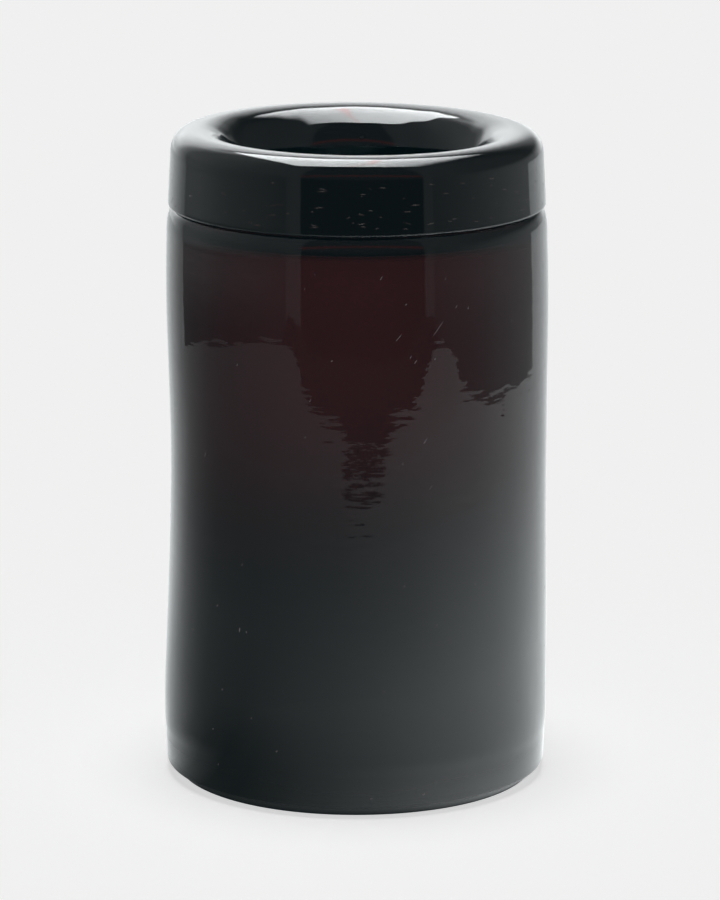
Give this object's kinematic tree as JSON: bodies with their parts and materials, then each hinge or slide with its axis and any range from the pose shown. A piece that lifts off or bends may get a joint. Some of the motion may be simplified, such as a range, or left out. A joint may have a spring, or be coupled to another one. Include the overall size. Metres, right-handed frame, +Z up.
{
  "type": "apothecary jar",
  "caption": "Straight-sided dark blown glass jar with a heavy dished glass lid that drops into the mouth and lifts off, for dry goods and powders.",
  "frame": {"origin": "the middle of the foot, on the surface that the jar stands on", "axes": "+Z up, along the axis that the jar and its lid are turned about; +X and +Y are free, because both pieces are round"},
  "size_m": [0.1214, 0.1214, 0.206],
  "materials": {
    "ruby_glass": "fire-polished blown glass, near-black with a deep oxblood red where light gets through, faint horizontal ripples and small seeds",
    "teal_black_glass": "fire-polished solid glass, near-black with a teal cast, small amber seeds drawn out round the ring, ground lower face"
  },
  "bodies": {
    "jar_body": {"jar": "ruby_glass"},
    "lid_body": {"lid": "teal_black_glass"}
  },
  "joints": [
    {"name": "lid_lift", "type": "slide", "parent": "jar_body", "child": "lid_body", "axis": [0, 0, 1], "range_m": [0, 0.06]}
  ]
}
